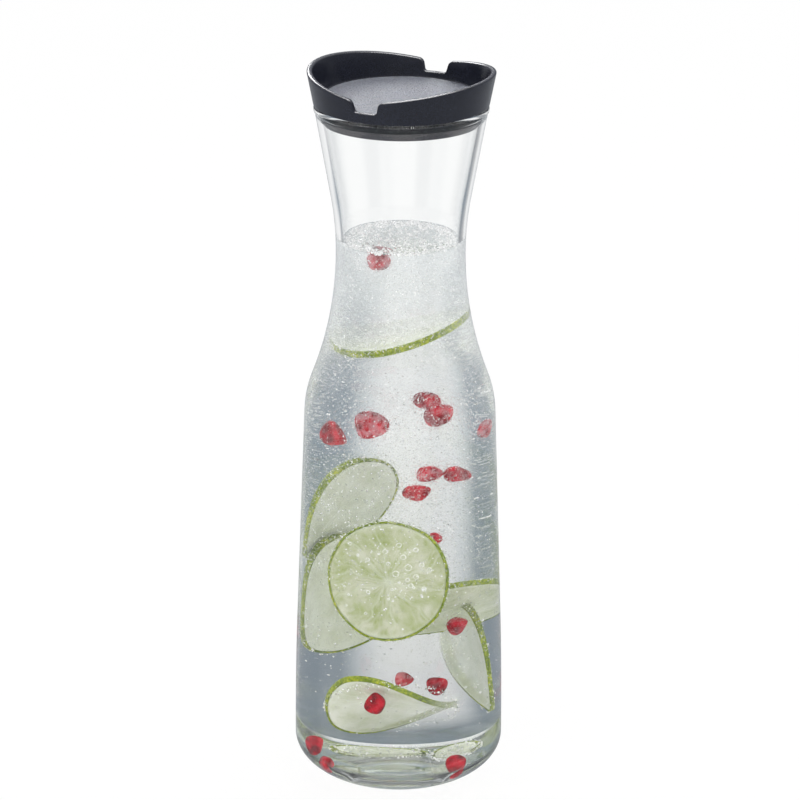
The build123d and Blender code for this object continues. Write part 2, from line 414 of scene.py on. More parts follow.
def new_group(name, inputs, outputs):
    """Empty node group with its input and output nodes: a vector and numbers go in, and
    numbers come out."""
    group = bpy.data.node_groups.new(name, "ShaderNodeTree")
    group.interface.new_socket("Vector", in_out="INPUT", socket_type="NodeSocketVector")
    for side, keys in (("INPUT", inputs), ("OUTPUT", outputs)):
        for key in keys:
            group.interface.new_socket(key, in_out=side, socket_type="NodeSocketFloat")
    return group, group.nodes.new("NodeGroupInput"), group.nodes.new("NodeGroupOutput")


def use_group(tree, group, vector, **values):
    """Node group placed in a material, on a vector and with its own values."""
    return add(tree, "Group", {"Vector": vector}, node_tree=group, **values)


def bubble_film_group():
    """Small round bubbles stuck to a surface: in each cell of a Voronoi pattern that is picked by its
    random colour, a dome whose height is the root of one less the squared distance from the cell's middle.
    White marks the bubbles that are painted white, as painted glints of the light that they catch."""
    group, source, result = new_group("bubble_film", ["Scale", "Density", "Size"], ["Height", "White"])
    vector, scale, density, size = source.outputs[:4]
    cells = add(group, "TexVoronoi", {"Vector": vector, "Scale": scale})
    shade = add(group, "SeparateColor", {"Color": cells.outputs["Color"]})
    picked = math(group, "LESS_THAN", shade.outputs[0], density)
    varied = times(group, size, plus(group, shade.outputs[1], 0.4))
    reach = math(group, "DIVIDE", cells.outputs["Distance"], varied)
    inside = math(group, "SUBTRACT", 1.0, times(group, reach, reach), clamp=True)
    height = times(group, math(group, "SQRT", inside), picked)
    group.links.new(times(group, height, varied), result.inputs["Height"])
    covered = times(group, math(group, "GREATER_THAN", inside, 0.0), picked)
    # Painted glints: part of the bubbles is marked to be painted white
    some = math(group, "GREATER_THAN", shade.outputs[2], 0.4)
    group.links.new(times(group, covered, some), result.inputs["White"])
    return group


def fine_grain_group():
    """Moulded or turned skin: two sizes of noise added up for a height, and a slow noise
    that varies the tone."""
    group, source, result = new_group("fine_grain", ["Scale"], ["Height", "Tone"])
    vector, scale = source.outputs[:2]
    fine = noise(group, vector, scale, 2.0)
    coarse = noise(group, vector, times(group, scale, 0.3), 3.0)
    half = times(group, coarse, 0.5)
    group.links.new(plus(group, fine, half), result.inputs["Height"])
    group.links.new(noise(group, vector, 45.0, 4.0), result.inputs["Tone"])
    return group


bubble_film = bubble_film_group()
fine_grain = fine_grain_group()


# Materials


def new_material(name, **sockets):
    """Material with one Principled shader, its sockets set by name."""
    material = bpy.data.materials.new(name)
    material.use_nodes = True
    tree = material.node_tree
    shader = tree.nodes["Principled BSDF"]
    for key, value in sockets.items():
        shader.inputs[key.replace("_", " ")].default_value = value
    return material, tree, shader


def bump(tree, shader, height, distance, strength=1.0):
    """Bump from a height field into a shader's Normal."""
    made = add(tree, "Bump", {"Height": height}, Strength=strength, Distance=distance)
    tree.links.new(made.outputs[0], shader.inputs["Normal"])


def let_through(tree, shader, share):
    """Mixes a share of plain transparency into a material."""
    clear = add(tree, "BsdfTransparent")
    mix = add(tree, "MixShader", {0: share, 1: shader.outputs[0], 2: clear.outputs[0]})
    tree.links.new(mix.outputs[0], tree.nodes["Material Output"].inputs["Surface"])


def let_light_in(tree, shader):
    """Lets shadow rays and diffuse rays through clear stuff, so that what is inside is lit."""
    path = add(tree, "LightPath")
    light = math(tree, "MAXIMUM", path.outputs["Is Shadow Ray"], path.outputs["Is Diffuse Ray"])
    let_through(tree, shader, light)


def glass_material():
    """Clear glass with a breath of green."""
    material, tree, shader = new_material(
        "clear_glass", Base_Color=(0.995, 1, 0.998, 1), Roughness=0.0, IOR=1.5, Transmission_Weight=1.0
    )
    let_light_in(tree, shader)
    return material


def water_material():
    """Sparkling water: where tiny bubbles stick to the glass, mostly in the neck and on one side, the skin
    is dimpled, a little milky and dotted with painted white glints. The foot stays clear."""
    clear, milk = (0.97, 0.98, 0.98), (0.70, 0.735, 0.755)
    material, tree, shader = new_material("water", Base_Color=(*clear, 1), Roughness=0.0, IOR=1.333)
    vector = object_coordinates(tree)
    place = add(tree, "SeparateXYZ", {"Vector": vector})
    quarter_metres = times(tree, place.outputs["Z"], 4.0)
    stops = greys((0.1, 0.0), (0.2, 0.03), (0.6, 0.15), (0.76, 0.6), (0.9, 0.95))
    patch = plus(tree, noise(tree, vector, 28.0, 3.0), 0.5)
    spread = times(tree, ramp(tree, quarter_metres, stops), patch)
    toward = times(tree, place.outputs["X"], cos(clear_azimuth))
    toward = math(tree, "MULTIPLY_ADD", place.outputs["Y"], sin(clear_azimuth), toward)
    facing = between(tree, toward, -0.01, 0.025, 1.0, 0.05)
    film = use_group(tree, bubble_film, vector, Scale=2100.0, Size=0.5)
    wet = between(tree, place.outputs["Z"], 0.05, 0.13, 0.0, 0.45)
    density = plus(tree, times(tree, spread, 0.5), wet)
    tree.links.new(density, film.inputs["Density"])
    # The film's white bubbles are painted glints; the spread adds the milky skin
    haze_and_glints = math(tree, "MULTIPLY_ADD", film.outputs["White"], 0.45, times(tree, spread, 0.6))
    milky = times(tree, haze_and_glints, facing)
    tree.links.new(math(tree, "SUBTRACT", 1.0, milky, clamp=True), shader.inputs["Transmission Weight"])
    tree.links.new(mix_colour(tree, milky, clear, milk), shader.inputs["Base Color"])
    bump(tree, shader, film.outputs["Height"], 0.00007)
    let_light_in(tree, shader)
    return material


def bubble_material():
    """Bubble in the water: clear with a dark rim, or as white as its own attribute says, the white a
    painted glint.
    """
    material, tree, shader = new_material("bubbles", Base_Color=(1, 1, 1, 1), Roughness=0.0, IOR=1.9)
    clear = math(tree, "SUBTRACT", 1.0, painted(tree, "white"))
    tree.links.new(clear, shader.inputs["Transmission Weight"])
    let_light_in(tree, shader)
    return material


def plastic_material(name, colour, roughness, grain, depth, gloss):
    """Satin moulded plastic: fine grain whose pores carry painted shade and whose tops carry painted light,
    with a tone and a roughness that drift a little."""
    material, tree, shader = new_material(name, Roughness=roughness, Specular_IOR_Level=gloss)
    skin = use_group(tree, fine_grain, object_coordinates(tree), Scale=grain)
    drift, height = skin.outputs["Tone"], skin.outputs["Height"]
    darker = tuple(0.8 * c for c in colour)
    lighter = tuple(1.2 * c for c in colour)
    tone = ramp(tree, drift, [(0.3, darker), (0.7, lighter)])
    # Painted shade in the pores of the grain and painted light on its tops
    grain_shade = ramp(tree, times(tree, height, 0.667), greys((0.38, 0.72), (0.62, 1.3)))
    tree.links.new(multiplied(tree, tone, grain_shade), shader.inputs["Base Color"])
    rough = between(tree, drift, 0.0, 1.0, roughness - 0.06, roughness + 0.06)
    tree.links.new(rough, shader.inputs["Roughness"])
    bump(tree, shader, height, depth)
    return material


def steel_material(name):
    """Turned stainless steel with a faint grain."""
    material, tree, shader = new_material(name, Metallic=1.0, Roughness=0.25)
    skin = use_group(tree, fine_grain, object_coordinates(tree), Scale=2500.0)
    tone = ramp(tree, skin.outputs["Tone"], [(0.3, (0.5, 0.5, 0.52)), (0.7, (0.68, 0.68, 0.7))])
    tree.links.new(tone, shader.inputs["Base Color"])
    bump(tree, shader, skin.outputs["Height"], 0.00002)
    return material


def polar(tree):
    """Radius, from 0 to 1, and angle on a slice's face, and the place there from -1 to 1,
    all from its own UV map."""
    uv = add(tree, "UVMap")
    centred = add(tree, "VectorMath", {0: uv.outputs[0]}, operation="MULTIPLY_ADD")
    centred.inputs[1].default_value = (2, 2, 0)
    centred.inputs[2].default_value = (-1, -1, 0)
    flat = centred.outputs[0]
    place = add(tree, "SeparateXYZ", {"Vector": flat})
    angle = math(tree, "ARCTAN2", place.outputs["Y"], place.outputs["X"])
    length = add(tree, "VectorMath", {0: flat}, operation="LENGTH")
    return length.outputs["Value"], angle, flat


def flesh_material():
    """Cut face of a lime: juice cells drawn out along the radius, pale skins between the
    segments, a pale core and a pale ring of pith inside the peel. Its own attributes make
    it paler, as if soaked, and let the water show through it."""
    material, tree, shader = new_material("lime_flesh", Roughness=0.35, Specular_IOR_Level=0.15)
    radius, angle, flat = polar(tree)
    wobble = times(tree, noise(tree, flat, 2.2, 1.0), 0.7)
    bent = plus(tree, angle, wobble)
    segment = math(tree, "ABSOLUTE", math(tree, "SINE", times(tree, bent, 5.0)))
    skin_distance = times(tree, times(tree, segment, radius), 0.2)
    skin = between(tree, skin_distance, 0.004, 0.03, 1.0, 0.0)
    drawn_out = {"X": times(tree, radius, 5.0), "Y": times(tree, bent, 7.0)}
    stretched = add(tree, "CombineXYZ", drawn_out)
    cells = add(
        tree, "TexVoronoi", {"Vector": stretched.outputs[0]},
        Scale=1.6, feature="SMOOTH_F1", Smoothness=0.6,
    )
    cell = cells.outputs["Distance"]
    tint = noise(tree, flat, 2.6, 5.0)
    mixed = plus(tree, times(tree, cell, 0.25), times(tree, tint, 0.8))
    stops = [(0.32, (0.33, 0.39, 0.13)), (0.5, (0.47, 0.505, 0.3)), (0.68, (0.62, 0.63, 0.49))]
    pulp = ramp(tree, mixed, stops)
    core = between(tree, radius, 0.03, 0.12, 1.0, 0.0)
    pith = between(tree, radius, 0.88, 0.95, 0.0, 0.8)
    pale = math(tree, "MAXIMUM", core, pith)
    pale = math(tree, "MAXIMUM", pale, times(tree, skin, 0.45))
    cut_face = mix_colour(tree, pale, pulp, (0.62, 0.66, 0.5))
    patches = math(tree, "MULTIPLY_ADD", tint, 1.3, 0.3)
    soaked = math(tree, "MULTIPLY", painted(tree, "pale"), patches, clamp=True)
    cut_face = mix_colour(tree, soaked, cut_face, (0.84, 0.875, 0.79))
    tree.links.new(cut_face, shader.inputs["Base Color"])
    relief = math(tree, "SUBTRACT", times(tree, skin, 0.4), cell)
    bump(tree, shader, relief, 0.0003, 0.5)
    let_through(tree, shader, painted(tree, "clear"))
    return material


def rind_material():
    """Waxy green peel with darker oil pits. Its own attribute lets the water show through."""
    material, tree, shader = new_material("lime_rind", Roughness=0.3, Specular_IOR_Level=0.15)
    vector = object_coordinates(tree)
    pits = add(tree, "TexVoronoi", {"Vector": vector}, Scale=900.0).outputs["Distance"]
    blotch = times(tree, noise(tree, vector, 120.0, 3.0), 0.6)
    mixed = math(tree, "MULTIPLY_ADD", pits, 0.5, blotch)
    stops = [(0.3, (0.07, 0.12, 0.0)), (0.55, (0.19, 0.26, 0.0)), (0.85, (0.47, 0.5, 0.02))]
    tree.links.new(ramp(tree, mixed, stops), shader.inputs["Base Color"])
    bump(tree, shader, pits, 0.0002)
    let_through(tree, shader, painted(tree, "clear"))
    return material


def seed_material():
    """Wet red seed flesh, dark in its depth and clearer in places, with tiny bubbles on it whose glints are
    painted as faint white specks.
    """
    material, tree, shader = new_material("fruit_seed", Roughness=0.15, Specular_IOR_Level=0.06)
    vector = object_coordinates(tree)
    stops = [(0.36, (0.17, 0.0, 0.003)), (0.5, (0.34, 0.0, 0.006)), (0.66, (0.58, 0.006, 0.02))]
    tone = ramp(tree, noise(tree, vector, 240.0, 1.5), stops)
    clearer = between(tree, noise(tree, vector, 420.0, 1.0), 0.42, 0.6)
    clearer = times(tree, clearer, painted(tree, "pale"))
    tone = mix_colour(tree, clearer, tone, (0.85, 0.48, 0.52))
    film = use_group(tree, bubble_film, vector, Scale=2100.0, Density=0.35, Size=0.45)
    # Painted glints of the tiny bubbles: a faint white speck on each
    painted_glint_specks = times(tree, film.outputs["White"], 0.05)
    tree.links.new(mix_colour(tree, painted_glint_specks, tone, (0.9, 0.75, 0.76)), shader.inputs["Base Color"])
    bump(tree, shader, film.outputs["Height"], 0.0003)
    return material


glass = glass_material()
water = water_material()
bubble = bubble_material()
flesh = flesh_material()
rind = rind_material()
seed_skin = seed_material()


def finish_piece(piece, material, body=None):
    """Gives a piece its material and, if a body is named, the body that it rides on."""
    piece.data.materials.clear()
    piece.data.materials.append(material)
    if body:
        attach(piece, body)


def paint(piece, name, value):
    """Stores a number on every point of a piece, or one number for all, for its material."""
    layer = piece.data.attributes.new(name, "FLOAT", "POINT")
    spread = np.zeros(len(piece.data.vertices), np.float32) + value
    layer.data.foreach_set("value", spread.astype(np.float32))


# Glass and water

glass_wall = revolve("carafe_glass", glass_profile(), segments=192)
finish_piece(glass_wall, glass, "carafe")
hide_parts("glass_body")
finish_piece(revolve("water", water_profile(), segments=160), water, "carafe")

# Lime slices. The normal is the way that the seen face looks, height and width reach from
# the middle of the cut, pale is how soaked its flesh is, and twist is the turn in degrees
# from the middle to the edge
Slice = namedtuple("Slice", "centre normal height width thickness pale twist")
slices = {
    "lime_front": Slice((6.35, -24.6, 94.4), (0.258, -0.948, 0.187), 25.1, 23.3, 2.4, 0.0, 0),
    "lime_low_left": Slice((-21.0, 8.1, 75.7), (0.937, -0.34, -0.079), 27.2, 27.2, 2.6, 0.85, 0),
    "lime_high_left": Slice((-20.4, 3.8, 114.2), (0.928, -0.234, -0.289), 24.9, 24.9, 2.6, 0.7, 0),
    "lime_right": Slice((17.9, 15.5, 49.6), (-0.601, -0.784, -0.154), 24.9, 24.9, 2.6, 0.85, 0),
    "lime_low": Slice((4.8, -17.8, 37.7), (0.241, -0.57, -0.785), 24.2, 24.2, 2.5, 0.55, 24),
    "lime_back": Slice((10.0, 9.8, 73.2), (0.463, -0.434, -0.773), 24.8, 24.8, 2.4, 0.35, 0),
    "lime_neck": Slice((1.6, -0.3, 192.4), (-0.304, -0.081, 0.949), 24.8, 24.8, 2.8, 0.2, 0),
    "lime_floor": Slice((-7.2, 3.0, 9.2), (-0.02, 0.06, 0.998), 7.5, 14.5, 1.3, 0.5, 0),
    "lime_floor_back": Slice((14.5, 9.5, 9.9), (-0.08, -0.02, 0.99), 7.0, 10.5, 1.3, 0.5, 0),
}
# How soaked slices fade: the way in which they get clearer, then for the pulp and for the
# peel the clearness at the middle and its gain towards the edge
Fade = namedtuple("Fade", "way pulp peel")
floor_fade = Fade((0.4, -0.917, 0.0), (0.0, 0.3), (0.2, 1.5))
fading = {
    "lime_neck": Fade((-0.4, 0.917, 0.0), (0.78, 0.4), (0.3, 1.5)),
    "lime_low": Fade((0.8, 0.35, -0.45), (0.3, 0.75), (0.0, 1.1)),
    "lime_right": Fade((-0.9, -0.39, 0.1), (0.45, 0.5), (0.25, 1.3)),
    "lime_high_left": Fade((0.9, 0.39, 0.0), (0.12, 0.12), (0.0, 0.5)),
    "lime_floor": floor_fade,
    "lime_floor_back": floor_fade,
}


def slice_axes(normal):
    """Level unit vector across a slice's face, the one at right angles to it, and the
    normal."""
    normal = np.array(normal, float)
    normal /= np.linalg.norm(normal)
    side = np.cross([0.0, 0.0, 1.0], normal)
    side /= np.linalg.norm(side)
    return side, np.cross(normal, side), normal


def on_slice(cut, x, y, z):
    """Points across, up and out of a slice's face, from its middle, as places."""
    side, up, axis = slice_axes(cut.normal)
    return np.array(cut.centre) + x[..., None] * side + y[..., None] * up + z[..., None] * axis


def slice_surface(name, cut, turn, inner, outer, thickness, rings, segments, relief, seed):
    """Flat ring or disc with rounded edges: a closed loop over the top face, round the
    edge, over the bottom face and back, carried round the slice's own axis and made oval.
    The height of both faces ripples by relief, the whole sheet is bowed by a low wave and
    it is twisted about its level axis. The UV map is the face itself, turned in its plane."""
    rng = np.random.default_rng(seed)
    out = np.linspace(inner, outer - slice_rounding, rings)
    edge = np.linspace(pi / 2, -pi / 2, 7)
    loop = np.concatenate([out, outer - slice_rounding + slice_rounding * np.cos(edge), out[::-1]])
    half = thickness / 2
    height = np.concatenate([np.full(rings, half), half * np.sin(edge), np.full(rings, -half)])
    angle = np.linspace(0, 2 * pi, segments, endpoint=False)
    lobes = rng.uniform(0, 2 * pi, 3)
    wave = 0.35 * np.sin(2 * angle + lobes[0]) + 0.15 * np.sin(3 * angle + lobes[1])
    rim_wobble = 1 + 0.006 * np.sin(5 * angle + lobes[2]) + 0.004 * np.sin(9 * angle + lobes[0])
    reach = loop[:, None] * rim_wobble[None, :]
    bow = wave[None, :] * (loop[:, None] / outer) ** 2
    ripple = relief * np.sin(7 * angle[None, :] + loop[:, None]) * np.sign(height)[:, None]
    z = height[:, None] + bow + ripple * (loop[:, None] < outer - 2 * slice_rounding)
    x, y = reach * np.cos(angle) * cut.width / cut.height, reach * np.sin(angle)
    across = cos(turn) * x + sin(turn) * y
    along = cos(turn) * y - sin(turn) * x
    uv = 0.5 + np.stack([across, along], -1).reshape(-1, 2) / (2 * cut.height)
    lean = radians(cut.twist) * x / cut.width
    y, z = np.cos(lean) * y - np.sin(lean) * z, np.sin(lean) * y + np.cos(lean) * z
    hollow = inner > 0
    faces = grid_faces(len(loop), segments, wrap_rows=hollow)
    piece = new_object(name, on_slice(cut, x, y, z).reshape(-1, 3), faces.tolist())
    layer = piece.data.uv_layers.new(name="face")
    corner = np.zeros(len(piece.data.loops), int)
    piece.data.loops.foreach_get("vertex_index", corner)
    layer.data.foreach_set("uv", uv[corner].ravel())
    if not hollow:
        join_touching(piece)
    return outwards(piece)


def paint_clearness(piece, cut, way, middle, gain):
    """Paints how clear a slice is: a value at its middle plus a gain times the distance
    from the middle along the slice's own way, in its widths."""
    place = np.zeros(3 * len(piece.data.vertices))
    piece.data.vertices.foreach_get("co", place)
    out = place.reshape(-1, 3) / MM - np.array(cut.centre)
    paint(piece, "clear", np.clip(middle + gain * (out @ np.array(way)) / cut.width, 0, 0.95))


rng = np.random.default_rng(11)
for name, cut in slices.items():
    turn = rng.uniform(0, 2 * pi)
    seed = rng.integers(1 << 30)
    pulp_radius = cut.height - rind_width
    pulp_thickness = cut.thickness - 2 * pulp_recess
    pulp = slice_surface(
        name + "_flesh", cut, turn, 0.0, pulp_radius, pulp_thickness,
        rings=30, segments=120, relief=0.06, seed=seed,
    )
    peel_start = pulp_radius - rind_overlap
    peel = slice_surface(
        name + "_rind", cut, turn, peel_start, cut.height, cut.thickness,
        rings=4, segments=160, relief=0.0, seed=seed,
    )
    paint(pulp, "pale", cut.pale)
    if name in fading:
        fade = fading[name]
        paint_clearness(pulp, cut, fade.way, *fade.pulp)
        paint_clearness(peel, cut, fade.way, *fade.peel)
    finish_piece(pulp, flesh, "carafe")
    finish_piece(peel, rind, "carafe")


# Red seeds: centre, length, width, turn in degrees about the way of view, and paleness
seeds = [
    ((-2.6, -13.9, 226.6), 9.0, 9.0, 10, 0.35),
    ((-16.2, -23.9, 153.7), 12.2, 9.5, -30, 0.07),
    ((-3.2, -17.6, 157.5), 12.5, 10.2, 5, 0.39),
    ((7.2, 4.9, 161.5), 9.2, 6.7, -15, 0.17),
    ((11.3, 4.6, 157.0), 9.7, 7.9, 20, 0.21),
    ((22.7, 13.7, 150.2), 8.2, 5.9, 80, 0.42),
    ((10.1, 0.0, 135.0), 9.7, 6.4, 10, 0.32),
    ((18.7, 3.6, 134.0), 9.5, 6.9, -8, 0.07),
    ((9.8, -8.1, 128.7), 9.7, 7.2, 12, 0.00),
    ((15.4, -5.4, 108.5), 5.9, 5.6, 0, 0.10),
    ((26.0, -7.6, 72.5), 8.4, 7.9, 20, 0.14),
    ((5.9, -9.5, 47.3), 6.7, 5.9, 0, 0.35),
    ((17.9, -8.5, 45.4), 7.9, 7.7, 30, 0.10),
    ((5.6, -35.2, 43.6), 10.2, 8.4, 75, 0.00),
    ((-22.6, -26.6, 17.6), 9.5, 8.7, 30, 0.03),
    ((30.3, -14.2, 13.0), 9.5, 8.2, 15, 0.03),
    ((-16.0, -31.5, 11.8), 7.0, 5.6, 10, 0.21),
]


def view_axes():
    """Right, up and back of the camera, as unit vectors."""
    right = np.array([cos(camera_azimuth), sin(camera_azimuth), 0.0])
    level = cos(camera_pitch)
    back = np.array([sin(camera_azimuth) * level, -cos(camera_azimuth) * level, sin(camera_pitch)])
    return right, np.cross(back, right), back


def faceted_seed(name, centre, length, width, turn, rng):
    """Rounded many-sided pip: in each direction the distance is one over a high-power sum
    of the direction's share along each of a few random planes' normals, stretched along
    one axis and tapered along it."""
    rows, columns = 16, 28
    facets, power = 11, 9
    polar_angle = np.linspace(0, pi, rows + 2)[1:-1]
    azimuth = np.linspace(0, 2 * pi, columns, endpoint=False)
    x = np.sin(polar_angle)[:, None] * np.cos(azimuth)
    y = np.sin(polar_angle)[:, None] * np.sin(azimuth)
    z = np.repeat(np.cos(polar_angle)[:, None], columns, 1)
    way = np.vstack([np.stack([x, y, z], 2).reshape(-1, 3), [[0, 0, 1], [0, 0, -1]]])
    planes = rng.normal(size=(facets, 3))
    planes /= np.linalg.norm(planes, axis=1)[:, None]
    offset = rng.uniform(0.82, 1.0, facets)
    share = np.clip(way @ planes.T / offset, 0, None) ** power
    reach = 1 / (share.sum(1) + 0.65) ** (1 / power)
    taper = 1 - 0.22 * way[:, 0]
    half_size = np.stack([np.full(len(way), length / 2), width / 2 * taper, width / 2.2 * taper], 1)
    shape = way * reach[:, None] * half_size
    right, up, back = view_axes()
    along = cos(radians(turn)) * right + sin(radians(turn)) * up
    side = cos(radians(turn)) * up - sin(radians(turn)) * right
    points = np.array(centre) + shape @ np.stack([along, side, back])
    faces = grid_faces(rows, columns).tolist() + pole_faces(rows, columns)
    return outwards(new_object(name, points, faces))


rng = np.random.default_rng(5)
for number, (centre, length, width, turn, pale) in enumerate(seeds, 1):
    pip = faceted_seed(f"seed_{number:02d}", centre, length, width, turn, rng)
    paint(pip, "pale", pale)
    finish_piece(pip, seed_skin, "carafe")


# Bubbles


def ball_shape(level):
    """Points and triangles of a small ball: an octahedron whose triangles are cut in four
    and pushed out to the sphere, level times."""
    points = np.array([[1, 0, 0], [-1, 0, 0], [0, 1, 0], [0, -1, 0], [0, 0, 1], [0, 0, -1]], float)
    upper = [[0, 2, 4], [2, 1, 4], [1, 3, 4], [3, 0, 4]]
    lower = [[2, 0, 5], [1, 2, 5], [3, 1, 5], [0, 3, 5]]
    faces = np.array(upper + lower)
    for _ in range(level):
        a, b, c = (points[faces[:, i]] for i in range(3))
        corners = np.stack([a, b, c, (a + b) / 2, (b + c) / 2, (c + a) / 2], 1).reshape(-1, 3)
        corners /= np.linalg.norm(corners, axis=1)[:, None]
        split = np.array([[0, 3, 5], [3, 1, 4], [5, 4, 2], [3, 4, 5]])
        faces = (split[None] + 6 * np.arange(len(faces))[:, None, None]).reshape(-1, 3)
        points, index = np.unique(corners.round(6), axis=0, return_inverse=True)
        faces = index.ravel()[faces]
    return points, faces


def bubble_cloud(name, centres, radii, glint_white_share, level=1):
    """Many balls in one mesh: the ball's points are scaled and moved to every centre. A share of them is
    painted white, as painted glints."""
    points, faces = ball_shape(level)
    everywhere = centres[:, None, :] + radii[:, None, None] * points[None]
    joined = faces[None] + len(points) * np.arange(len(centres))[:, None, None]
    piece = new_object(name, everywhere.reshape(-1, 3), joined.reshape(-1, 3).tolist())
    chance = np.random.default_rng(len(centres)).random((2, len(centres)))
    # Painted glints: the white share of the bubbles is painted white
    white = np.where(chance[0] < glint_white_share, 0.35 + 0.55 * chance[1], 0.0)
    paint(piece, "white", np.repeat(white, len(points)))
    finish_piece(piece, bubble, "carafe")


def bubble_sizes(count, small, large, rng):
    """Radii between two sizes, most of them near the small one."""
    return small + (large - small) * rng.random(count) ** 2.2


def around_axis(out, angle, height):
    """Points at distances from the axis, in directions round it and at heights."""
    return np.stack([out * np.cos(angle), out * np.sin(angle), height], 1)


def wall_bubbles(count, low, high, small, large, rng):
    """Bubbles that stick to the inside of the glass between two heights, more on one side."""
    height = rng.uniform(low, high, count)
    angle = rng.uniform(0, 2 * pi, count)
    radii = bubble_sizes(count, small, large, rng)
    out = inner_radius(height) - radii * 1.05
    keep = rng.random(count) < 0.65 + 0.35 * np.cos(angle - clear_azimuth)
    return around_axis(out, angle, height)[keep], radii[keep]


def free_bubbles(count, low, high, small, large, rng):
    """Bubbles that rise in the water, spread evenly over its width."""
    height = rng.uniform(low, high, count)
    angle = rng.uniform(0, 2 * pi, count)
    radii = bubble_sizes(count, small, large, rng)
    out = (inner_radius(height) - 2) * np.sqrt(rng.random(count))
    return around_axis(out, angle, height), radii


def slice_bubbles(cut, count, small, large, on_rim, rng):
    """Bubbles that sit on both faces of a slice, or on the peel round it."""
    angle = rng.uniform(0, 2 * pi, count)
    radii = bubble_sizes(count, small, large, rng)
    if on_rim:
        out = cut.height + 0.7 * radii
        lift = rng.uniform(-0.5, 0.5, count) * cut.thickness
    else:
        out = cut.height * np.sqrt(rng.random(count))
        lift = rng.choice([-1, 1], count) * (cut.thickness / 2 + 0.85 * radii)
    x, y = out * np.cos(angle) * cut.width / cut.height, out * np.sin(angle)
    return on_slice(cut, x, y, lift), radii


def inside_water(points, radii):
    """Keeps the bubbles that lie clear of the glass, over the floor and under the surface."""
    height = points[:, 2]
    out = np.hypot(points[:, 0], points[:, 1]) + radii
    in_depth = (height > floor_thickness + 2) & (height < water_level - 0.5)
    keep = (out < inner_radius(height) - 0.05) & in_depth
    return points[keep], radii[keep]


# Bubbles on the glass: count, lowest, highest, smallest, largest, and share of white ones, whose white is a
# painted glint
wall_clouds = {
    "bubbles_neck_wall": (3800, 182, 231.5, 0.12, 0.36, 0.75),
    "bubbles_body_wall": (8000, 90, 182, 0.11, 0.34, 0.75),
    "bubbles_low_wall": (500, 24, 90, 0.12, 0.3, 0.5),
}
rng = np.random.default_rng(23)
for name, (*spread, glint_white_share) in wall_clouds.items():
    bubble_cloud(name, *wall_bubbles(*spread, rng), glint_white_share)
bubble_cloud("bubbles_free", *free_bubbles(1300, 30, 230, 0.12, 0.42, rng), glint_white_share=0.6)
on_slices = [slice_bubbles(cut, 190, 0.14, 0.6, on_rim=False, rng=rng) for cut in slices.values()]
on_slices += [slice_bubbles(cut, 330, 0.14, 0.38, on_rim=True, rng=rng) for cut in slices.values()]
points, radii = inside_water(*(np.concatenate(part) for part in zip(*on_slices)))
bubble_cloud("bubbles_on_slices", points, radii, glint_white_share=0.6)

# Bubbles on the front slice: place on its face, in its heights, and radius. The large ones are chosen, the
# small ones are spread at random, and the first rimmed_count get a painted highlight rim
large_bubbles = [
    (0.3, 0.25, 1.2), (0.12, 0.14, 1.1), (0.42, 0.1, 0.9), (0.5, 0.3, 0.8),
    (0.22, 0.42, 0.9), (0.55, -0.1, 0.8), (-0.05, 0.5, 0.8), (0.35, -0.05, 0.8),
    (0.62, 0.22, 0.8), (0.15, 0.62, 0.8), (-0.3, 0.35, 0.6), (0.4, 0.55, 0.8),
]
small_count = 70
rimmed_count = 26
rim_thickness = 0.17


def front_bubbles(cut, rng):
    """Centres and radii of the bubbles on the front slice's seen face."""
    small_places = rng.uniform(-0.8, 0.8, (small_count, 3))[:, :2] * 0.85
    small_radii = bubble_sizes(small_count, 0.3, 0.7, rng)
    x, y, radii = np.vstack([large_bubbles, np.column_stack([small_places, small_radii])]).T
    return on_slice(cut, cut.height * x, cut.height * y, cut.thickness / 2 + 0.8 * radii), radii


def painted_rim_highlights(name, cut, centres, radii):
    """Painted highlight rims of large bubbles: thin near-white rings that face out of the slice, each a
    small circle carried round a large one."""
    side, up, axis = (way[:, None, None] for way in slice_axes(cut.normal))
    steps, section_steps = 24, 6
    turn = np.linspace(0, 2 * pi, steps, endpoint=False)[:, None]
    section = np.linspace(0, 2 * pi, section_steps, endpoint=False)
    out = radii[:, None, None] + rim_thickness * np.cos(section)
    lift = rim_thickness * np.sin(section)
    flat = np.cos(turn) * side + np.sin(turn) * up
    rings = [(c[:, None, None] + flat * o + lift * axis).reshape(3, -1).T for c, o in zip(centres, out)]
    faces = grid_faces(steps, section_steps, wrap_rows=True)
    joined = faces[None] + steps * section_steps * np.arange(len(centres))[:, None, None]
    piece = outwards(new_object(name, np.vstack(rings), joined.reshape(-1, 4).tolist()))
    # The rims are painted near white: a painted highlight of the bubbles
    paint(piece, "white", 0.95)
    finish_piece(piece, bubble, "carafe")


front = slices["lime_front"]
centres, radii = front_bubbles(front, rng)
bubble_cloud("bubbles_front_slice", centres, radii, glint_white_share=0.0, level=2)
painted_rim_highlights("painted_highlight_rims_front_slice", front, centres[:rimmed_count], radii[:rimmed_count])


def foam_ring(count, rng):
    """Foam round the edge of the water: balls packed against the glass, fewer inwards."""
    angle = rng.uniform(0, 2 * pi, count)
    clump = 0.5 + 0.5 * np.sin(3 * angle + 0.6) * np.sin(7 * angle + 2.0)
    far_side = 0.5 - 0.5 * np.cos(angle - clear_azimuth)
    radii = bubble_sizes(count, 0.3, 1.4, rng) * (0.55 + 0.45 * far_side)
    out = inner_radius(water_level) - radii * 1.05 - rng.exponential(0.7 + 2.2 * clump, count)
    height = water_level + radii * rng.uniform(-0.6, 0.5, count)
    keep = out > 6
    return around_axis(out, angle, height)[keep], radii[keep]


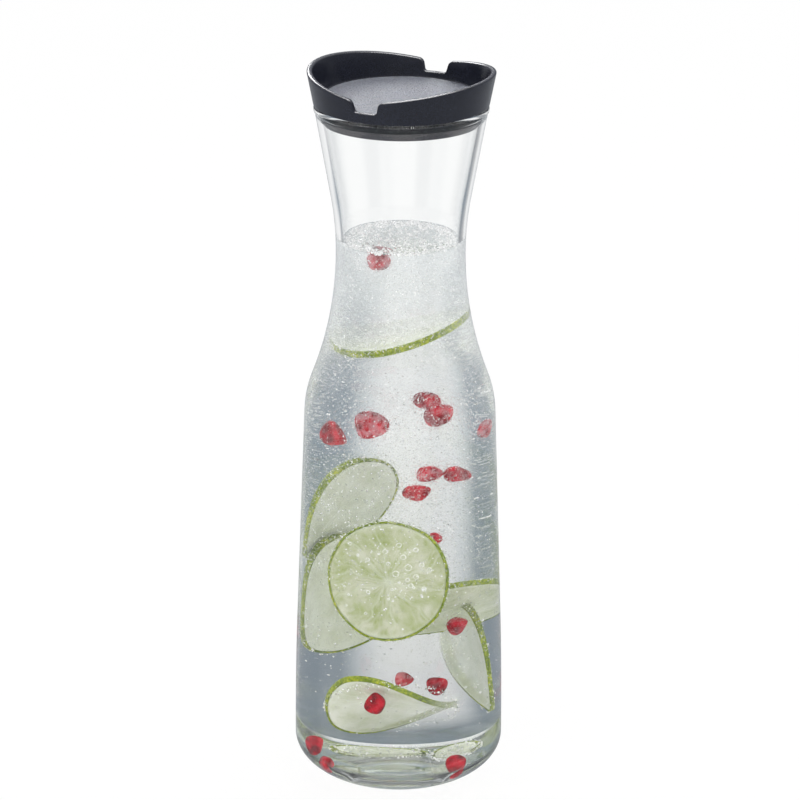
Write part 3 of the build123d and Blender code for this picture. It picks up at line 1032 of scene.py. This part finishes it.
def afloat_bubbles(count, reach, rng):
    """Small bubbles that float on the water, spread evenly over a disc."""
    angle = rng.uniform(0, 2 * pi, count)
    out = reach * np.sqrt(rng.random(count))
    radii = bubble_sizes(count, 0.2, 0.7, rng)
    return around_axis(out, angle, np.full(count, water_level)), radii


bubble_cloud("foam", *foam_ring(1300, rng), glint_white_share=0.6)
bubble_cloud("bubbles_afloat", *afloat_bubbles(count=900, reach=23, rng=rng), glint_white_share=0.8)


# Floor and studio

white = (1, 1, 1)


def studio_pattern(tree):
    """Brightness of the studio seen through the glass, by the direction of the ray alone:
    full towards four directions at right angles, the one behind the photographed side
    among them, and blue grey half way between them. A second one is brighter. The last
    output is how steeply the ray goes down."""
    incoming = add(tree, "NewGeometry").outputs["Incoming"]
    place = add(tree, "SeparateXYZ", {"Vector": incoming})
    angle = math(tree, "ARCTAN2", place.outputs["Y"], place.outputs["X"])
    turned = math(tree, "SUBTRACT", angle, bright_azimuth)
    wave = math(tree, "COSINE", times(tree, turned, 4.0))
    wave = math(tree, "MULTIPLY_ADD", wave, 0.5, 0.5)
    stops = [(0.0, (0.18, 0.24, 0.3)), (0.4, (0.21, 0.27, 0.325)), (0.72, (0.8, 0.83, 0.85)), (0.85, white)]
    bright_stops = [(0.0, (0.3, 0.31, 0.325)), (0.12, (0.42, 0.43, 0.44)), (0.3, white)]
    return ramp(tree, wave, stops), ramp(tree, wave, bright_stops), place.outputs["Z"]


def by_ray(tree, seen_through, mirrored):
    """White, but for the colours that refracted rays and mirrored rays meet, and the
    sockets that tell the camera's own rays, refracted rays and mirrored rays."""
    path = add(tree, "LightPath").outputs
    camera_ray, through, glossy = (path[f"Is {kind} Ray"] for kind in ("Camera", "Transmission", "Glossy"))
    colour = mix_colour(tree, glossy, white, mirrored)
    colour = mix_colour(tree, through, colour, seen_through)
    return mix_colour(tree, camera_ray, colour, white), camera_ray, through, glossy


def make_world():
    """White to the camera and to soft light; the studio's pattern through the glass,
    brighter at the horizon and darker overhead; and for reflections a gradient from grey at
    the horizon to white above."""
    world = bpy.data.worlds.new("studio")
    bpy.context.scene.world = world
    world.use_nodes = True
    tree = world.node_tree
    tree.nodes.clear()
    pattern, brighter, downward = studio_pattern(tree)
    height = times(tree, downward, -1.0)
    pattern = mix_colour(tree, between(tree, height, 0.12, 0.2), brighter, pattern)
    seen_through = mix_colour(tree, between(tree, height, 0.22, 0.34), pattern, (0.26, 0.31, 0.33))
    stops = [(0.0, (0.2, 0.21, 0.24)), (0.25, (0.34, 0.36, 0.42)), (0.5, (0.8, 0.82, 0.87)), (0.7, white)]
    colour = by_ray(tree, seen_through, ramp(tree, height, stops))[0]
    lit = add(tree, "Background", {"Color": colour})
    add(tree, "OutputWorld", {0: lit.outputs[0]})


def make_floor():
    """Pale floor that keeps a soft shadow. To refracted rays it shows a painted shadow of the carafe that
    darkens it close by, and where they graze it there, a painted reflection of a dim room, as a polished
    table mirrors one; far off they find it bright."""
    material = bpy.data.materials.new("floor")
    material.use_nodes = True
    tree = material.node_tree
    tree.nodes.clear()
    pattern, brighter, steepness = studio_pattern(tree)
    away = add(tree, "VectorMath", {0: object_coordinates(tree)}, operation="LENGTH")
    away = away.outputs["Value"]
    # Painted reflection of a dim room, which grazing refracted rays meet close to the carafe
    near = between(tree, away, 0.25, 0.6, 1.0, 0.0)
    grazing = between(tree, steepness, 0.22, 0.36, 1.0, 0.0)
    dim = times(tree, near, grazing)
    # Painted shadow of the carafe, darker close to it, with a tenth of white mixed back in nearest to it
    shade = ramp(tree, away, greys((0.1, 0.66), (0.27, 0.82), (0.6, 1)))
    seen_through = multiplied(tree, mix_colour(tree, dim, pattern, (0.15, 0.21, 0.26)), shade)
    seen_through = mix_colour(tree, between(tree, away, 0.1, 0.25, 0.1, 0.0), seen_through, white)
    seen_through = mix_colour(tree, between(tree, away, 0.55, 0.68), seen_through, brighter)
    colour, camera_ray, through, glossy = by_ray(tree, seen_through, (0.42, 0.44, 0.47))
    glow = add(tree, "Emission", {"Color": colour})
    plain = add(tree, "BsdfDiffuse", Color=(0.9, 0.9, 0.9, 1))
    bounced = math(tree, "MAXIMUM", through, glossy)
    shown = math(tree, "MAXIMUM", times(tree, camera_ray, 0.9), bounced)
    mix = add(tree, "MixShader", {0: shown, 1: plain.outputs[0], 2: glow.outputs[0]})
    add(tree, "OutputMaterial", {0: mix.outputs[0]})
    corners = [(x, y, -floor_gap) for x, y in ((-1, -1), (1, -1), (1, 1), (-1, 1))]
    corners = np.array(corners) * (floor_reach, floor_reach, 1)
    floor = new_object("floor", corners, [[0, 1, 2, 3]], smooth=False)
    floor.data.materials.append(material)


def area_lamp(name, place, size, power, gloss_only=False):
    """Soft lamp, placed in metres, that looks at the middle of the carafe. It may serve only
    for highlights."""
    lamp = bpy.data.lights.new(name, "AREA")
    lamp.shape = "RECTANGLE"
    lamp.size, lamp.size_y = size
    lamp.energy = power
    holder = in_scene(name, lamp)
    place = np.array(place, float)
    back = place - np.array([0, 0, lamp_aim_height * MM])
    back /= np.linalg.norm(back)
    side = np.cross([0, 0, 1.0], back)
    if np.linalg.norm(side) < 1e-6:
        side = np.array([1.0, 0, 0])
    side /= np.linalg.norm(side)
    up = np.cross(back, side)
    rows = [[side[i], up[i], back[i], place[i]] for i in range(3)]
    holder.matrix_world = Matrix(rows + [[0, 0, 0, 1]])
    holder.visible_camera = False
    holder.visible_transmission = False
    holder.visible_diffuse = not gloss_only


def make_camera():
    """Camera at the photograph's distance, height, azimuth, pitch and small roll."""
    lens = bpy.data.cameras.new("camera")
    lens.lens = camera_lens
    lens.sensor_width = camera_sensor
    camera = in_scene("camera", lens)
    x = camera_distance * sin(camera_azimuth) * MM
    y = -camera_distance * cos(camera_azimuth) * MM
    place = Matrix.Translation((x, y, camera_height * MM))
    turn = Matrix.Rotation(camera_azimuth, 4, "Z") @ Matrix.Rotation(pi / 2 - camera_pitch, 4, "X")
    camera.matrix_world = place @ turn @ Matrix.Rotation(camera_roll, 4, "Z")
    bpy.context.scene.camera = camera


make_camera()
make_world()
make_floor()
area_lamp("top_softbox", (0.1, 0.3, 1.5), (0.9, 0.9), 4.0)
area_lamp("back_key", (-0.85, 0.95, 1.0), (0.8, 0.45), 16.0, gloss_only=True)
area_lamp("front_strip", (-0.5, -1.3, 1.5), (1.2, 0.08), 4.0)
area_lamp("top_gloss", (0.0, 0.0, 1.6), (1.2, 1.2), 60.0, gloss_only=True)

# Lid pieces: slot, colour, roughness, scale of the grain, its depth in metres, and gloss
lid_finishes = {
    # The collar's blue tint is a painted reflection of a bluish room on near-black plastic
    "lid_collar": ("collar_plastic", (0.011, 0.0125, 0.021), 0.22, 2600.0, 0.00002, 0.5),
    "neck_seal": ("seal_rubber", (0.008, 0.008, 0.01), 0.4, 3000.0, 0.00001, 0.15),
    "plug_sleeve": ("sleeve_plastic", (0.045, 0.043, 0.048), 0.3, 3000.0, 0.00001, 0.25),
    "strainer": ("strainer_plastic", (0.08, 0.08, 0.09), 0.45, 3000.0, 0.00001, 0.3),
    "valve_disc": ("disc_plastic", (0.15, 0.16, 0.198), 0.3, 1300.0, 0.001, 0.5),
    "valve_washer": ("washer_rubber", (0.05, 0.05, 0.055), 0.6, 3000.0, 0.00001, 0.5),
}
steel_slots = {"valve_stem": "stem_steel", "valve_weight": "weight_steel", "stem_clip": "stem_steel"}
for node_name, (slot, *finish) in lid_finishes.items():
    finish_piece(smoothed_copy(node_name), plastic_material(slot, *finish))
for node_name, slot in steel_slots.items():
    finish_piece(smoothed_copy(node_name), steel_material(slot + "_" + node_name))

scene = bpy.context.scene
scene.view_settings.view_transform = "Standard"
cycles = scene.cycles
cycles.max_bounces = 24
cycles.transmission_bounces = 24
cycles.glossy_bounces = 24
cycles.transparent_max_bounces = 32
cycles.caustics_reflective = False
cycles.caustics_refractive = False
cycles.use_denoising = True
